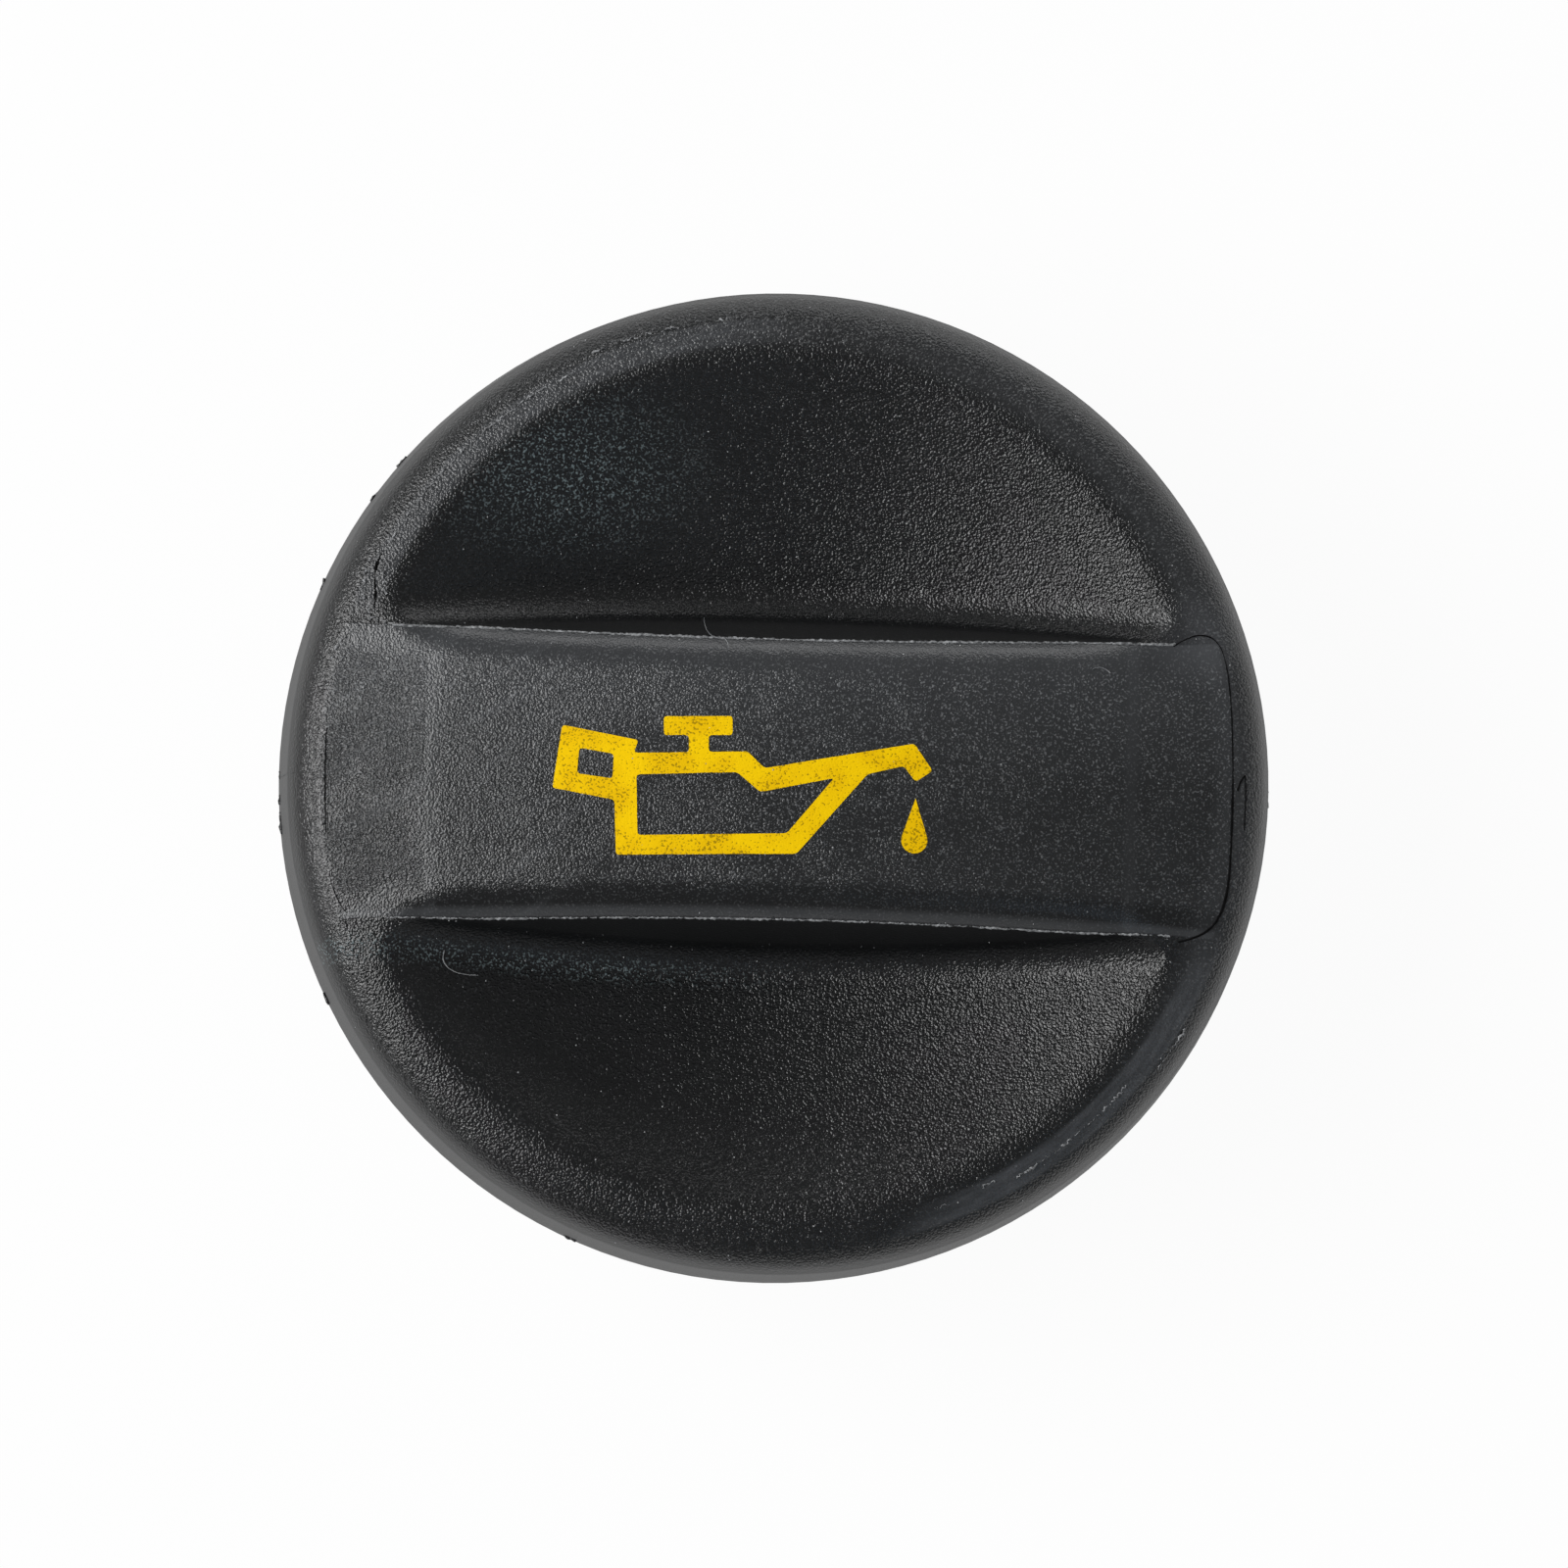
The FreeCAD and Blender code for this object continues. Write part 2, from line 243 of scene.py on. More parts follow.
    # chalky wear: the scuffed land, the bar's front edge, the stripes and slanting rubs; painted light: the
    # bar greying towards its back roll, the rim's right side and a highlight on the foot roll at the back
    # scoop's right corner
    aroundScale, outScale = look["scuffStretch"]
    bearing = add(mathNode, y, x, operation="ARCTAN2")
    ringwise = add("ShaderNodeCombineXYZ", add(mathNode, bearing, aroundScale, **times),
                   add(mathNode, radius, outScale, **times))
    scratches = add(noiseNode, {"Vector": ringwise, "Scale": 1.0, "Detail": 5.0, "Roughness": 0.65})
    chalkAndLight = add(mathNode, add(mathNode, backLeft, look["backLeftChalk"], **times),
                add(mathNode, frontRight, look["frontRightChalk"], **times), operation="ADD")
    chalkAndLight = add(mathNode, chalkAndLight, add(rampNode, scratches, *look["scuffFade"]), **times)
    # painted light: the bar greys towards its back roll, where the light from the back falls
    backRollLit = add(mathNode, add(rampNode, y, *look["backRollLitChalk"]), bar, **times)
    frontEdge = add(mathNode, add(rampNode, edgeGap, *look["frontEdgeChalk"]),
                    add(mathNode, front, bar, **times), **times)
    turn = (0, 0, math.radians(look["rubTurnDeg"]))
    turned = add("ShaderNodeMapping", {"Vector": place, "Rotation": turn, "Scale": look["rubSizeMm"]},
                 vector_type="TEXTURE")
    rubs = add(noiseNode, {"Vector": turned, "Scale": 1.0, "Detail": 3.0})
    rubs = add(mathNode, add(rampNode, rubs, *look["rubFade"]),
               add(rampNode, x, *look["rubLeft"]), **times)
    rubs = add(mathNode, rubs, bar, **times)
    # painted light: a little chalk on the rim's right side, which faces away from the key
    rimLitRight = add(mathNode, rim, add(rampNode, x, *look["rimLitRightChalk"]), **times)
    # painted highlight: chalk on the foot roll at the back scoop's right corner stands in for the light it
    # catches
    fromFootHighlight = add(vectorNode, level, (*look["cornerMm"], 0), operation="DISTANCE", out="Value")
    corner = add(rampNode, fromFootHighlight, *look["footHighlightChalk"])
    stripeWear = add(mathNode, stripe, look["stripeChalk"], **times)
    for wear in (backRollLit, frontEdge, rubs, rimLitRight, corner, stripeWear):
        chalkAndLight = add(mathNode, chalkAndLight, wear, operation="ADD")
    chalkAndLight = add(mathNode, chalkAndLight, top, **times)
    colour = add(mixNode, {0: chalkAndLight, 6: colour, 7: srgb(look["chalkAndLight"])}, **colours)

    # painted bluish sheen: the reflection of a cool light painted into the colour in the back scoop and along
    # the foot of the bar's front flank, speckled like glints by the grain
    reach = tuple(1 / r for r in look["sheenReachMm"]) + (0,)
    fromSheen = add(vectorNode, place, (*look["sheenCentreMm"], 0), operation="SUBTRACT")
    fromSheen = add(vectorNode, fromSheen, reach, operation="MULTIPLY")
    fromSheen = add(vectorNode, fromSheen, operation="LENGTH", out="Value")
    bluishSheen = add(mathNode, add(rampNode, fromSheen, *look["sheenFade"]),
               add(rampNode, radius, *look["sheenLand"]), **times)
    footSheen = add(mathNode, add(rampNode, edgeGap, *look["footFrom"]),
               add(rampNode, edgeGap, *look["footTo"]), **times)
    for part in (add(rampNode, x, *look["footLeft"]), front, look["footShare"]):
        footSheen = add(mathNode, footSheen, part, **times)
    bluishSheen = add(mathNode, bluishSheen, footSheen, operation="MAXIMUM")
    for part in (top, add(rampNode, scoopGrain, *look["sheenGlints"])):
        bluishSheen = add(mathNode, bluishSheen, part, **times)
    colour = add(mixNode, {0: bluishSheen, 6: colour, 7: srgb(look["bluishSheen"])}, **colours)
    shader = add("ShaderNodeBsdfPrincipled",
                 {"IOR": look["ior"], "Base Color": colour, "Normal": bump,
                  "Roughness": add(rampNode, upward, *look["roughness"])})
    add("ShaderNodeOutputMaterial", shader)
    return material


# nitrile rubber, press-moulded: dull black with a faint bloom
rubberLook = {"black": "#141414", "bloom": "#262726", "bloomMm": 2.5, "bloomFade": (0.4, 0.75),
              "skinMm": 0.25, "skinHeightMm": 0.008, "roughness": 0.62, "ior": 1.52}


def nitrileRubber():
    look = rubberLook
    material, add, place = newMaterial("nitrile_rubber_moulded")
    bloom = add(noiseNode, {"Vector": place, "Scale": 1 / look["bloomMm"], "Detail": 4.0})
    skin = add(noiseNode, {"Vector": place, "Scale": 1 / look["skinMm"]})
    bump = add("ShaderNodeBump", {"Distance": look["skinHeightMm"] * mm, "Height": skin})
    colour = add(mixNode, {0: add(rampNode, bloom, *look["bloomFade"]),
                           6: srgb(look["black"]), 7: srgb(look["bloom"])}, **colours)
    shader = add("ShaderNodeBsdfPrincipled",
                 {"IOR": look["ior"], "Base Color": colour, "Normal": bump, "Roughness": look["roughness"]})
    add("ShaderNodeOutputMaterial", shader)
    return material


# pad-printed ink on the grain: warm yellow, broken by dark pinholes where the pad missed the pits
inkLook = {"yellow": "#FDD000", "deep": "#F2C200", "gap": "#6B5608", "grainMm": 0.15, "patchMm": 2.6,
           "thinFade": (0.42, 0.62), "missedBelow": 0.34, "missedMore": 0.09,
           "pinholes": (-0.03, 0.05, 0.0, 0.66),
           "heightMm": 0.03, "roughness": 0.65, "sheen": 0.10, "ior": 1.42}


def padPrintInk():
    look = inkLook
    material, add, place = newMaterial("ink_pad_printed_yellow")
    grain = add(noiseNode, {"Vector": place, "Scale": 1 / look["grainMm"], "Detail": 1.0})
    patches = add(noiseNode, {"Vector": place, "Scale": 1 / look["patchMm"], "Detail": 2.0})
    thin = add(rampNode, patches, *look["thinFade"])
    missed = add(mathNode, thin, look["missedMore"], look["missedBelow"], operation="MULTIPLY_ADD")
    missed = add(mathNode, missed, grain, operation="SUBTRACT")
    pinholes = add(rampNode, missed, *look["pinholes"])
    colour = add(mixNode, {0: thin, 6: srgb(look["yellow"]), 7: srgb(look["deep"])}, **colours)
    colour = add(mixNode, {0: pinholes, 6: colour, 7: srgb(look["gap"])}, **colours)
    bump = add("ShaderNodeBump", {"Distance": look["heightMm"] * mm, "Height": grain})
    shader = add("ShaderNodeBsdfPrincipled",
                 {"IOR": look["ior"], "Base Color": colour, "Normal": bump, "Roughness": look["roughness"],
                  "Specular IOR Level": look["sheen"]})
    add("ShaderNodeOutputMaterial", shader)
    return material


# materials of the thin leftovers, each two tones broken up at a grain size:
# flash is nylon stretched thin, so it turns grey and catches light;
# the parting step is near black: painted shadow, with dirt in it; cotton lint and house dust are pale and matt
thinLooks = {
    "nylon_moulding_flash_grey": {"tones": ("#4C4D4F", "#A6A8AA"), "grainMm": 0.3, "fade": (0.4, 0.66),
                                  "roughness": 0.5, "ior": 1.53},
    "nylon_parting_step_painted_shadow": {"tones": ("#030303", "#0E0E0F"), "grainMm": 0.4, "fade": (0.4, 0.66),
                                 "roughness": 0.9, "ior": 1.2},
    "cotton_lint_pale": {"tones": ("#77797C", "#C9CACB"), "grainMm": 3.0, "fade": (0.4, 0.66),
                         "roughness": 0.8, "ior": 1.5},
}


def thinMaterial(name):
    look = thinLooks[name]
    material, add, place = newMaterial(name)
    broken = add(noiseNode, {"Vector": place, "Scale": 1 / look["grainMm"], "Detail": 4.0, "Roughness": 0.7})
    dark, pale = [srgb(tone) for tone in look["tones"]]
    colour = add(mixNode, {0: add(rampNode, broken, *look["fade"]), 6: dark, 7: pale}, **colours)
    shader = add("ShaderNodeBsdfPrincipled",
                 {"IOR": look["ior"], "Base Color": colour, "Roughness": look["roughness"]})
    add("ShaderNodeOutputMaterial", shader)
    return material


nylon = sparkErodedNylon()
rubber = nitrileRubber()
ink = padPrintInk()
flash, step, lint = [thinMaterial(name) for name in thinLooks]
for node, material in ((capNode, nylon), (ringNode, rubber)):
    node.data.materials.clear()
    node.data.materials.append(material)
print("materials made")


# oil-can sign, sizes in mm about its own centre, printed level on the crown
sign = {
    "centre": (-2.60, -0.5), "turnDeg": 1.4, "inkMm": 0.025, "sinkMm": 0.04, "cornerMm": 0.22,
    "weldMm": 0.0001, "cutMm": 0.8, "cuts": 16, "mergeMm": 0.02,
    "can": [(-11.45, 3.88), (-6.62, 2.88), (-6.92, 2.08), (-3.43, 2.10), (-3.43, 3.18), (-5.01, 3.18),
            (-5.01, 4.40), (-0.65, 4.40), (-0.65, 3.18), (-2.17, 3.18), (-2.17, 2.12), (0.29, 2.15),
            (1.37, 1.08), (10.93, 2.65), (12.09, 0.91), (10.99, 0.21), (10.24, 1.22), (7.93, 0.70),
            (3.38, -4.37), (-8.07, -4.40), (-8.16, -0.91), (-12.09, -0.14)],
    "handleHole": [(-10.37, 2.41), (-8.19, 2.01), (-8.28, 0.44), (-10.52, 0.79)],
    "canHole": [(-6.76, 0.70), (-0.37, 0.82), (1.08, -0.44), (5.79, 0.44), (2.77, -3.06), (-6.70, -3.15)],
    "dropTip": (10.99, -0.84), "dropCentre": (10.90, -3.50), "dropRadius": 0.84, "dropSteps": 20,
}


# a closed outline with each corner turned on a small arc
def softened(corners, reach, steps=3):
    outline = []
    count = len(corners)
    for i in range(count):
        here = Vector(corners[i])
        before = Vector(corners[i - 1]) - here
        after = Vector(corners[(i + 1) % count]) - here
        cut = min(reach, before.length / 3, after.length / 3)
        first = here + before.normalized() * cut
        last = here + after.normalized() * cut
        for k in range(steps + 1):
            t = k / steps
            outline.append(first * (1 - t) ** 2 + here * 2 * t * (1 - t) + last * t ** 2)
    return outline


def dropOutline():
    centre = Vector(sign["dropCentre"])
    tip = Vector(sign["dropTip"]) - centre
    touch = math.acos(sign["dropRadius"] / tip.length)
    start = math.atan2(tip.y, tip.x) + touch
    sweep = 2 * math.pi - 2 * touch
    points = [Vector(sign["dropTip"])]
    for k in range(sign["dropSteps"] + 1):
        a = start + sweep * k / sign["dropSteps"]
        points.append(centre + Vector((math.cos(a), math.sin(a))) * sign["dropRadius"])
    return points


# the plain mesh that a curve or a modifier makes
def evaluatedMesh(name, data, setUp=None):
    maker = bpy.data.objects.new(name + "_maker", data)
    scene.collection.objects.link(maker)
    if setUp:
        setUp(maker)
    shapes = bpy.context.evaluated_depsgraph_get()
    mesh = bpy.data.meshes.new_from_object(maker.evaluated_get(shapes))
    mesh.name = name
    bpy.data.objects.remove(maker)
    return mesh


def printSign():
    curve = bpy.data.curves.new("signOutline", "CURVE")
    curve.dimensions = "2D"
    curve.fill_mode = "FRONT"
    outlines = [softened(sign[name], sign["cornerMm"]) for name in ("can", "handleHole", "canHole")]
    for outline in outlines + [dropOutline()]:
        spline = curve.splines.new("POLY")
        spline.points.add(len(outline) - 1)
        for point, place in zip(spline.points, outline):
            point.co = (place.x, place.y, 0, 1)
        spline.use_cyclic_u = True
    mesh = evaluatedMesh("oil_can_sign", curve)
    bm = bmesh.new()
    bm.from_mesh(mesh)
    bmesh.ops.remove_doubles(bm, verts=bm.verts, dist=sign["weldMm"])
    # cut into small squares so that the print can follow the crown
    for axis in (Vector((1, 0, 0)), Vector((0, 1, 0))):
        for k in range(-sign["cuts"], sign["cuts"] + 1):
            parts = bm.verts[:] + bm.edges[:] + bm.faces[:]
            bmesh.ops.bisect_plane(bm, geom=parts, plane_co=axis * k * sign["cutMm"], plane_no=axis)
    bmesh.ops.remove_doubles(bm, verts=bm.verts, dist=sign["mergeMm"])
    bmesh.ops.triangulate(bm, faces=bm.faces)
    for face in bm.faces:
        face.normal_update()
        if face.normal.z < 0:
            face.normal_flip()
    lifted = set(bmesh.ops.extrude_face_region(bm, geom=bm.faces[:])["geom"])
    turn = Matrix.Rotation(math.radians(sign["turnDeg"]), 2)
    for vert in bm.verts:
        place = turn @ vert.co.xy + Vector(sign["centre"])
        lift = sign["inkMm"] if vert in lifted else -sign["sinkMm"]
        vert.co = onCap(place.x, place.y) + Vector((0, 0, lift * mm))
    bmesh.ops.recalc_face_normals(bm, faces=bm.faces)
    bm.to_mesh(mesh)
    bm.free()
    newPiece("oil_can_sign", mesh, ink)


printSign()
print("sign printed")


# a node tree with its named inputs, its node adder and what its group input gives
def newTree(name, floats):
    tree = bpy.data.node_groups.new(name, "GeometryNodeTree")
    sockets = [("Geometry", "Geometry"), *((label, "Float") for label in floats),
               ("Seed", "Int"), ("Material", "Material")]
    for label, kind in sockets:
        tree.interface.new_socket(label, in_out="INPUT", socket_type="NodeSocket" + kind)
    tree.interface.new_socket("Geometry", in_out="OUTPUT", socket_type="NodeSocketGeometry")
    add = partial(addNode, tree)
    return tree, add, add("NodeGroupInput").node.outputs


beadFade = (0.38, 0.66)  # a bead swells from least to full radius between these values of its patches


# a ragged bead that follows a path: the path is a chain of edges lying on the cap
def beadTree():
    tree, add, given = newTree("ragged_bead", ("Radius", "Step", "Wander", "Least", "Patch"))
    path = add("GeometryNodeMeshToCurve", {"Mesh": given["Geometry"]})
    path = add("GeometryNodeResampleCurve", {"Curve": path, "Length": given["Step"]}, mode="LENGTH")
    low = add(vectorNode, {0: (-1, -1, -1), "Scale": given["Wander"]}, operation="SCALE")
    high = add(vectorNode, {0: (1, 1, 1), "Scale": given["Wander"]}, operation="SCALE")
    stray = add("FunctionNodeRandomValue", low, high, {"Seed": given["Seed"]}, data_type="FLOAT_VECTOR")
    path = add("GeometryNodeSetPosition", {"Geometry": path, "Offset": stray})
    layer = add("ShaderNodeCombineXYZ", {"Z": given["Seed"]})
    place = add(vectorNode, add("GeometryNodeInputPosition"), layer)
    patches = add(noiseNode, {"Vector": place, "Scale": given["Patch"], "Detail": 2.0})
    size = add(rampNode, patches, *beadFade, given["Least"], given["Radius"])
    ring = add("GeometryNodeCurvePrimitiveCircle", {"Resolution": 6, "Radius": 1.0})
    tube = add("GeometryNodeCurveToMesh",
               {"Curve": path, "Profile Curve": ring, "Scale": size, "Fill Caps": True})
    real = add("GeometryNodeRealizeInstances", tube)
    add("NodeGroupOutput", add("GeometryNodeSetMaterial", {"Geometry": real, "Material": given["Material"]}))
    return tree


# dust specks strewn over faces
def dustTree():
    tree, add, given = newTree("strewn_dust", ("Density", "Small", "Large"))
    points = add("GeometryNodeDistributePointsOnFaces",
                 {"Mesh": given["Geometry"], "Density": given["Density"], "Seed": given["Seed"]})
    speck = add("GeometryNodeMeshIcoSphere", {"Radius": 1.0, "Subdivisions": 1})
    share = add("FunctionNodeRandomValue", {"Seed": given["Seed"]}, out=1)
    share = add(mathNode, share, 3.0, operation="POWER")  # most specks are small
    size = add(rampNode, share, 0.0, 1.0, given["Small"], given["Large"])
    strewn = add("GeometryNodeInstanceOnPoints", {"Points": points, "Instance": speck, "Scale": size})
    real = add("GeometryNodeRealizeInstances", strewn)
    add("NodeGroupOutput", add("GeometryNodeSetMaterial", {"Geometry": real, "Material": given["Material"]}))
    return tree


def treeMesh(name, mesh, tree, inputs):
    def setUp(maker):
        modifier = maker.modifiers.new("maker", "NODES")
        modifier.node_group = tree
        for item in tree.interface.items_tree:
            if item.in_out == "INPUT" and item.name in inputs:
                modifier[item.identifier] = inputs[item.name]
    return evaluatedMesh(name, mesh, setUp)


beads = beadTree()


def beadPiece(name, paths, look, material):
    verts, edges = [], []
    for path in paths:
        edges += [(len(verts) + k, len(verts) + k + 1) for k in range(len(path) - 1)]
        verts += path
    mesh = bpy.data.meshes.new(name + "_path")
    mesh.from_pydata(verts, edges, [])
    inputs = {"Radius": look["radiusMm"] * mm, "Step": look["stepMm"] * mm,
              "Wander": look["wanderMm"] * mm, "Least": look["leastMm"] * mm,
              "Patch": 1 / (look["patchMm"] * mm), "Seed": look["seed"], "Material": material}
    plain = treeMesh(name, mesh, beads, inputs)
    plain.shade_smooth()
    newPiece(name, plain, material)


# points along a smooth curve pulled by its corners
def smoothPath(corners, steps):
    curve = bpy.data.curves.new("path", "CURVE")
    curve.dimensions = "3D"
    spline = curve.splines.new("NURBS")
    spline.points.add(len(corners) - 1)
    for point, corner in zip(spline.points, corners):
        point.co = (*Vector(corner).to_3d(), 1)
    spline.use_endpoint_u = True
    spline.order_u = min(4, len(corners))
    spline.resolution_u = max(4, steps // len(corners))
    return [v.co.copy() for v in evaluatedMesh("path", curve).vertices]


# the same, laid on the cap
def pathOnCap(corners, steps):
    return [onCap(p.x, p.y) for p in smoothPath(corners, steps)]


# flash along the bar's two crisp edges, found where its top meets the drafted plane of the flank;
# less of it stands out at the front
barFlash = {"radiusMm": 0.11, "stepMm": 0.12, "wanderMm": 0.04, "leastMm": 0.06, "patchMm": 1.6, "seed": 3,
            "reachMm": 25.0, "count": 120, "searchMm": (7.0, 11.0), "halvings": 16, "insideMm": 0.04,
            "frontSinkMm": 0.05}


def barEdge(side):
    draft = math.tan(math.radians(nylonLook["barDraftDeg"]))
    path = []
    for k in range(barFlash["count"] + 1):
        x = barFlash["reachMm"] * (2 * k / barFlash["count"] - 1)
        inner, outer = barFlash["searchMm"]
        for halving in range(barFlash["halvings"]):
            y = (inner + outer) / 2
            drop = nylonLook["barTopMm"] - onCap(x, side * y).z / mm
            if y < nylonLook["barHalfMm"] + drop * draft - barFlash["insideMm"]:
                inner = y
            else:
                outer = y
        path.append(onCap(x, side * inner))
    return path


backEdge = barEdge(1)
frontEdge = [p - Vector((0, 0, barFlash["frontSinkMm"] * mm)) for p in barEdge(-1)]
beadPiece("bar_edge_flash", [backEdge, frontEdge], barFlash, flash)
print("bar edge at", [round(p.y / mm, 2) for p in backEdge[::barFlash["count"] // 2]], "mm")


# the parting step round the bar's ends, drawn as near-black beads of painted shadow: deep at the front right,
# a fine crack elsewhere
endStep = {"radiusMm": 0.10, "stepMm": 0.2, "wanderMm": 0.012, "leastMm": 0.06, "patchMm": 4.0, "seed": 11,
           "steps": 60,
           "paths": [[(28.93, 0.6), (28.95, -1.5), (28.9, -3.8), (28.8, -6.4),
                      (28.2, -8.4), (27.2, -9.3), (25.6, -9.7)],
                     [(29.25, 0.1), (29.4, 0.7), (29.75, 1.1)]]}
endCrack = {"radiusMm": 0.05, "stepMm": 0.2, "wanderMm": 0.015, "leastMm": 0.02, "patchMm": 3.0, "seed": 13,
            "steps": 40,
            "paths": [[(28.93, 0.6), (28.9, 3.5), (28.6, 8.4), (27.6, 10.1), (26.2, 10.1), (24.9, 9.2)],
                      [(29.75, 1.1), (29.85, -0.8), (29.75, -2.4)],
                      [(-29.05, 2.7), (-29.15, -0.2), (-28.95, -4.0)],
                      [(-28.65, -6.6), (-28.4, -7.9), (-27.6, -9.0)]]}


def markPiece(name, marks, material):
    beadPiece(name, [pathOnCap(corners, marks["steps"]) for corners in marks["paths"]], marks, material)


markPiece("bar_end_step", endStep, step)
markPiece("bar_end_cracks", endCrack, step)


# flaky scuffs on the rim's parting circle: radius in mm, then first and last bearing in degrees
rimScuff = {"radiusMm": 0.09, "stepMm": 0.1, "wanderMm": 0.10, "leastMm": 0.01, "patchMm": 0.8, "seed": 23,
            "perDeg": 2,
            "arcs": [(29.3, 118, 150), (29.9, 113, 115), (29.9, 107.5, 111), (29.8, 104, 106),
                     (29.8, 97, 99), (30.3, -36, -30), (29.4, -58, -40), (29.0, -69, -67),
                     (28.9, -62.5, -60.5)]}


def rimArc(radius, first, last):
    count = max(2, round((last - first) * rimScuff["perDeg"]))
    bearings = [math.radians(first + (last - first) * k / count) for k in range(count + 1)]
    return [onCap(radius * math.cos(a), radius * math.sin(a)) for a in bearings]


beadPiece("rim_scuffs", [rimArc(*arc) for arc in rimScuff["arcs"]], rimScuff, flash)


# the mould's split shows as a fine line down the shoulder at each end of the bar
splitLine = {"radiusMm": 0.05, "stepMm": 0.2, "wanderMm": 0.02, "leastMm": 0.03, "patchMm": 1.5, "seed": 31,
             "steps": 12,
             "paths": [[(-29.5, -0.15), (-30.7, -0.15), (-31.8, -0.15)],
                       [(29.5, 0.2), (30.7, 0.2), (31.8, 0.2)]]}
markPiece("mould_split_lines", splitLine, nylon)


# torn bits of flash on the wall's widest edge: bearing in degrees and length in mm
wallFlash = {"radiusMm": 0.16, "stepMm": 0.15, "wanderMm": 0.05, "leastMm": 0.05, "patchMm": 0.6, "seed": 41,
             "radialMm": 31.95, "zMm": -1.6, "count": 6,
             "bits": [(180.0, 0.5), (182.8, 0.6), (185.6, 1.5), (140.2, 0.9), (145.4, 0.7),
                      (157.2, 0.8), (206.5, 0.8), (246.9, 0.9), (-0.2, 0.9)]}


def wallBit(bearing, length):
    path = []
    for k in range(wallFlash["count"] + 1):
        a = math.radians(bearing) + (k / wallFlash["count"] - 0.5) * length / wallFlash["radialMm"]
        around = Vector((math.cos(a), math.sin(a), 0)) * wallFlash["radialMm"]
        path.append((around + Vector((0, 0, wallFlash["zMm"]))) * mm)
    return path


beadPiece("wall_flash_bits", [wallBit(*bit) for bit in wallFlash["bits"]], wallFlash, nylon)


# a split seam at the back scoop's left corner, a near-black bead of painted shadow, with whitened crumbs and
# scratches beside it
cornerSeam = {"radiusMm": 0.12, "stepMm": 0.15, "wanderMm": 0.03, "leastMm": 0.03, "patchMm": 1.0, "seed": 53,
              "steps": 24,
              "paths": [[(-26.2, 10.4), (-26.1, 11.3), (-26.3, 12.3), (-26.2, 13.2), (-25.8, 13.9)]]}
cornerCrumbs = {"radiusMm": 0.13, "stepMm": 0.1, "wanderMm": 0.13, "leastMm": 0.01, "patchMm": 0.6, "seed": 57,
                "steps": 24,
                "paths": [[(-27.0, 11.6), (-26.8, 10.7), (-26.4, 9.9)],
                          [(-26.5, 9.9), (-25.8, 9.6), (-25.0, 9.3)],
                          [(-27.2, 9.2), (-28.3, 8.5), (-28.9, 7.0)],
                          [(-26.6, 13.6), (-26.9, 12.7), (-26.8, 12.0)],
                          [(-25.6, 13.0), (-25.7, 12.2), (-25.5, 11.4)]]}
markPiece("corner_seam", cornerSeam, step)
markPiece("corner_crumbs", cornerCrumbs, flash)
print("parting lines laid")


# loose fibres lying on the cap: place and lift in mm
fibres = {"radiusMm": 0.03, "stepMm": 0.12, "wanderMm": 0.01, "leastMm": 0.018, "patchMm": 3.0, "seed": 61,
          "steps": 40,
          "runs": [[(-5.1, 10.4, 1.6), (-5.2, 9.4, 0.6), (-4.3, 8.6, 0.3), (-3.7, 9.0, 0.8),
                    (-3.7, 8.1, 0.06)],
                   [(-21.2, -11.3, 0.3), (-21.6, -12.3, 0.15), (-20.6, -12.9, 0.1), (-19.0, -12.8, 0.06)],
                   [(19.6, 7.5, 0.06), (20.2, 7.9, 0.25), (20.8, 7.3, 0.06)]]}


def fibrePath(run):
    corners = [onCap(x, y) / mm + Vector((0, 0, lift)) for x, y, lift in run]
    return [p * mm for p in smoothPath(corners, fibres["steps"])]


beadPiece("lint_fibres", [fibrePath(run) for run in fibres["runs"]], fibres, lint)


# dust specks on the upper faces
dust = {"perSquareMm": 0.3, "smallMm": 0.015, "largeMm": 0.06, "seed": 7,
        "upward": 0.3, "aboveMm": 2.0, "weldMm": 0.001}


def strewDust():
    bm = bmesh.new()
    bm.from_mesh(capMesh)
    bmesh.ops.remove_doubles(bm, verts=bm.verts, dist=dust["weldMm"] * mm)
    hidden = [f for f in bm.faces if f.normal.z < dust["upward"]
              or f.calc_center_median().z < dust["aboveMm"] * mm]
    bmesh.ops.delete(bm, geom=hidden, context="FACES")
    ground = bpy.data.meshes.new("dust_ground")
    bm.to_mesh(ground)
    bm.free()
    inputs = {"Density": dust["perSquareMm"] / mm ** 2, "Small": dust["smallMm"] * mm,
              "Large": dust["largeMm"] * mm, "Seed": dust["seed"], "Material": lint}
    newPiece("dust_specks", treeMesh("dust_specks", ground, dustTree(), inputs), lint)


strewDust()
print("fibres and dust strewn")


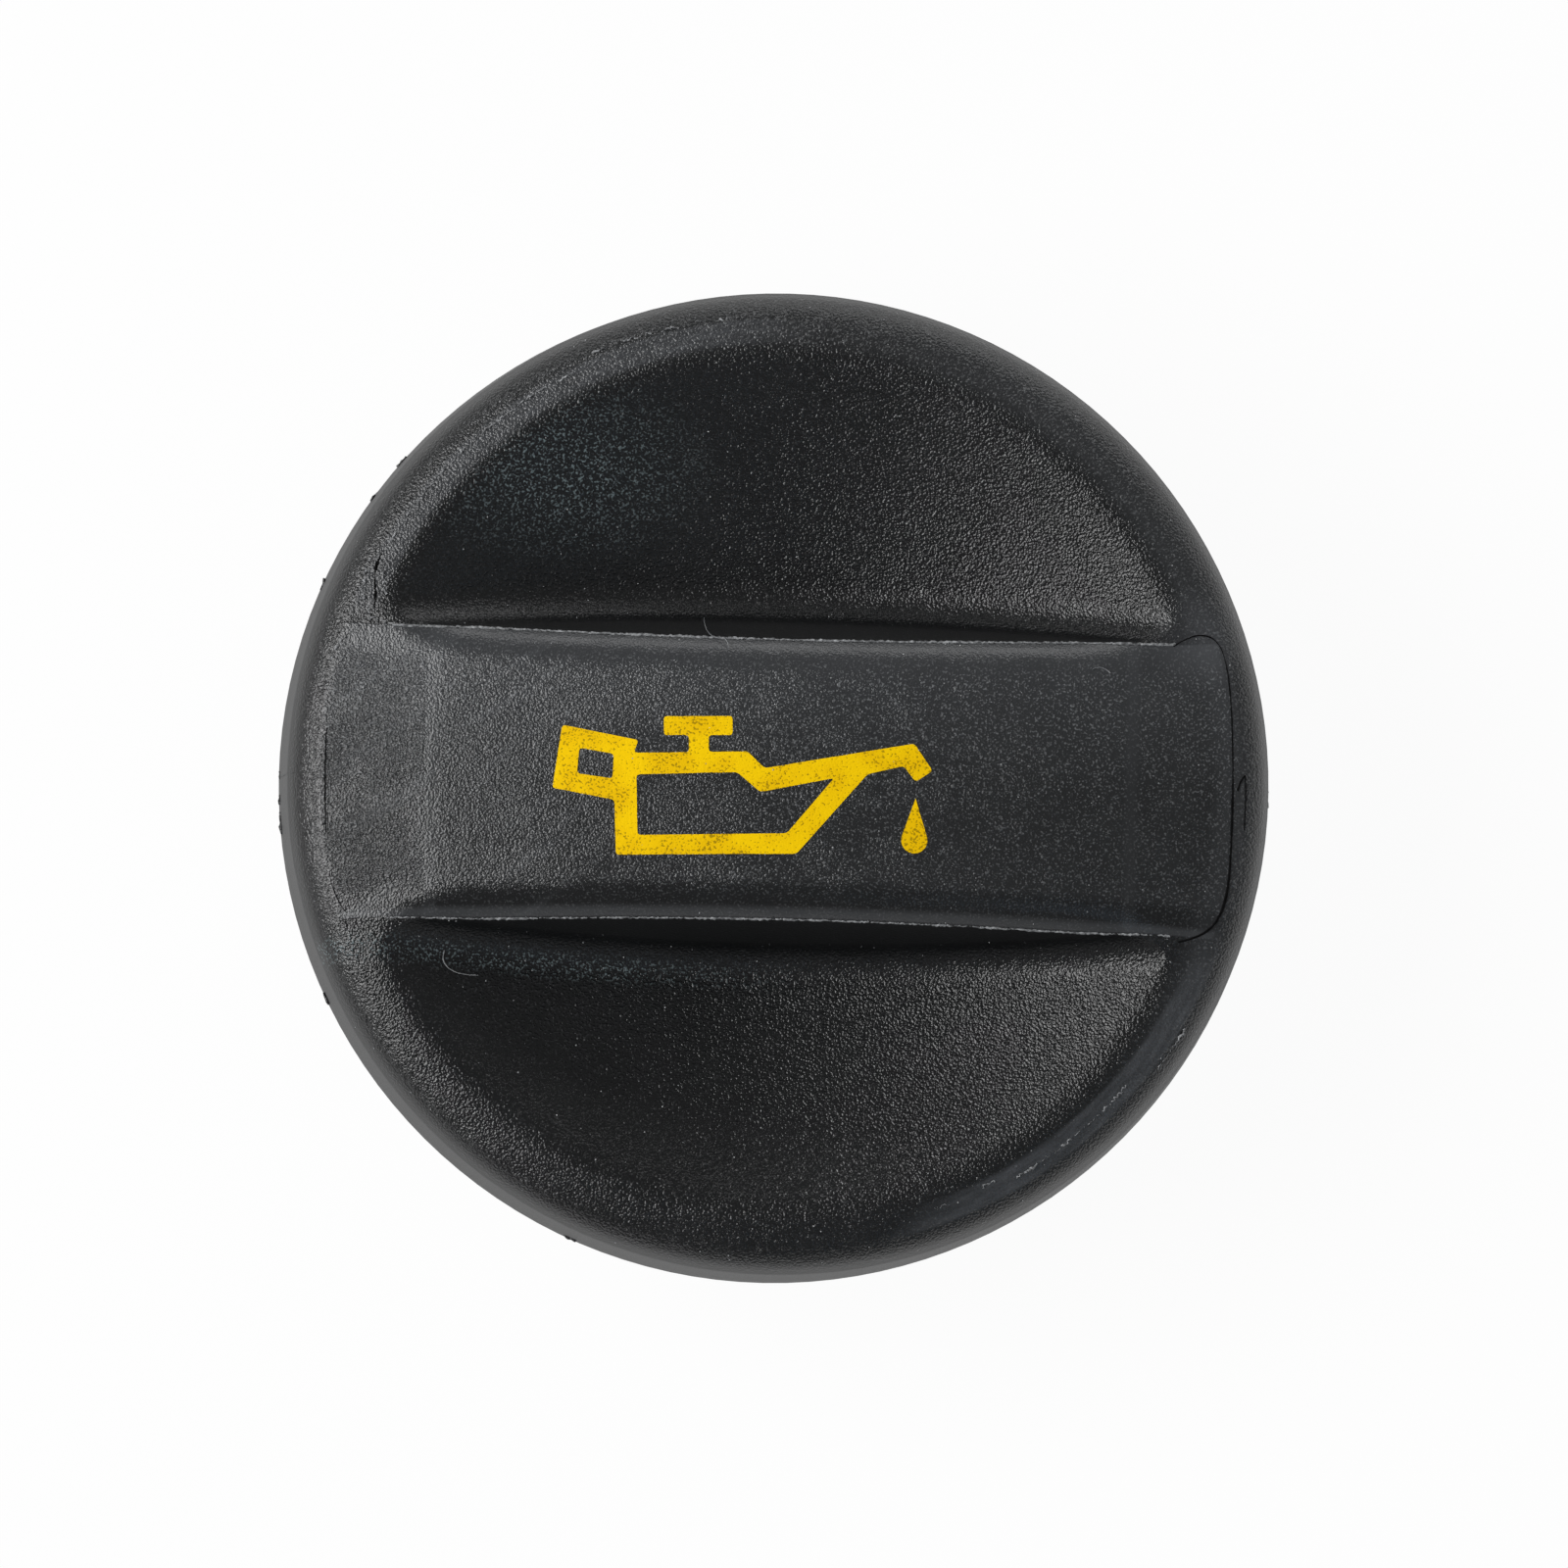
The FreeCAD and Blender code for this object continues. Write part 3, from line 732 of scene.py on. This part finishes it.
# floor, soft light and camera
studio = {
    "floorSize": 6.0, "floorGap": 0.00002, "floorColour": "#F2F2F2", "whiteShare": 0.95,
    "keyPlace": (-0.60, 0.05, 0.60), "keyWide": 0.7, "keyTall": 0.45, "keyPower": 7.1,
    "backPlace": (0.25, 0.95, 0.22), "backWide": 1.0, "backTall": 0.25, "backPower": 1.6,
    "skyPlace": (0.40, -0.48, 0.58), "skyWide": 0.35, "skyTall": 0.3, "skyPower": 0.2,
    "keyColour": "#FFFFFF", "backColour": "#FFFFFF", "skyColour": "#B4D2EC",
    "sideLight": 1.0, "endLight": 0.38, "sideFade": (0.2, 0.9), "overheadLight": 0.19, "overheadFrom": 0.45,
}
view = {
    "distance": 0.65, "lens": 230.6, "leanX": 3.0, "leanY": 3.0, "rollDeg": 1.4, "aimZMm": -2.4,
    "centrePx": (789.5, 804.2), "framePx": 1600, "sensor": 36.0, "nearest": 0.01,
}


def whiteFloor():
    half = studio["floorSize"] / 2
    mesh = bpy.data.meshes.new("floor")
    corners = [(-half, -half), (half, -half), (half, half), (-half, half)]
    mesh.from_pydata([(x, y, cadLow.z - studio["floorGap"]) for x, y in corners], [], [(0, 1, 2, 3)])
    floor = bpy.data.objects.new("floor", mesh)
    scene.collection.objects.link(floor)
    material, add, place = newMaterial("floor_matt_white")
    seen = add("ShaderNodeLightPath", out="Is Camera Ray")
    for ray in ("Is Glossy Ray", "Is Transmission Ray"):
        seen = add(mathNode, seen, add("ShaderNodeLightPath", out=ray), operation="MAXIMUM")
    paint = add("ShaderNodeBsdfDiffuse", srgb(studio["floorColour"]))
    glow = add("ShaderNodeEmission", {"Strength": 1.0})
    mix = add("ShaderNodeMixShader", add(mathNode, seen, studio["whiteShare"], **times), paint, glow)
    # clear from below, so that the underside can be looked at
    below = add("ShaderNodeNewGeometry", out="Backfacing")
    clear = add("ShaderNodeMixShader", below, mix, add("ShaderNodeBsdfTransparent"))
    add("ShaderNodeOutputMaterial", clear)
    mesh.materials.append(material)


def softLight(name):
    data = bpy.data.lights.new(name, "AREA")
    data.shape = "RECTANGLE"
    data.size = studio[name + "Wide"]
    data.size_y = studio[name + "Tall"]
    data.energy = studio[name + "Power"]
    data.color = srgb(studio[name + "Colour"])[:3]
    lamp = bpy.data.objects.new(name, data)
    lamp.location = studio[name + "Place"]
    lamp.rotation_euler = (-Vector(studio[name + "Place"])).to_track_quat("-Z", "Y").to_euler()
    scene.collection.objects.link(lamp)


# the room is bright near the horizon, most at the sides, darker overhead, and white to the camera
def roomLight():
    world = bpy.data.worlds.new("studio")
    world.use_nodes = True
    scene.world = world
    world.node_tree.nodes.clear()
    add = partial(addNode, world.node_tree)
    heading = add(splitNode, add("ShaderNodeTexCoord", out="Generated")).node.outputs
    sideways = add(mathNode, heading["X"], operation="ABSOLUTE")
    walls = add(rampNode, sideways, *studio["sideFade"], studio["endLight"], studio["sideLight"])
    room = add(rampNode, heading["Z"], 0.0, studio["overheadFrom"], walls, studio["overheadLight"],
               interpolation_type="SMOOTHSTEP")
    strength = add(mathNode, room, add("ShaderNodeLightPath", out="Is Camera Ray"), operation="MAXIMUM")
    add("ShaderNodeOutputWorld", add("ShaderNodeBackground", (1, 1, 1, 1), strength))


def placeCamera():
    data = bpy.data.cameras.new("camera")
    data.sensor_width = view["sensor"]
    data.lens = view["lens"]
    data.clip_start = view["nearest"]
    lean = [-math.tan(math.radians(view[axis])) for axis in ("leanX", "leanY")]
    back = Vector((*lean, 1)).normalized()
    right = Matrix.Rotation(math.radians(view["rollDeg"]), 3, "Z") @ Vector((1, 0, 0))
    up = back.cross(right).normalized()
    right = up.cross(back)
    turn = Matrix((right, up, back)).transposed().to_4x4()
    aim = Vector((0, 0, view["aimZMm"] * mm))
    shot = bpy.data.objects.new("camera", data)
    shot.matrix_world = Matrix.Translation(aim + back * view["distance"]) @ turn
    half = view["framePx"] / 2
    data.shift_x = (half - view["centrePx"][0]) / view["framePx"]
    data.shift_y = (view["centrePx"][1] - half) / view["framePx"]
    scene.collection.objects.link(shot)
    scene.camera = shot


whiteFloor()
for name in ("key", "back", "sky"):
    softLight(name)
roomLight()
placeCamera()
scene.view_settings.view_transform = "Standard"
print("studio set")
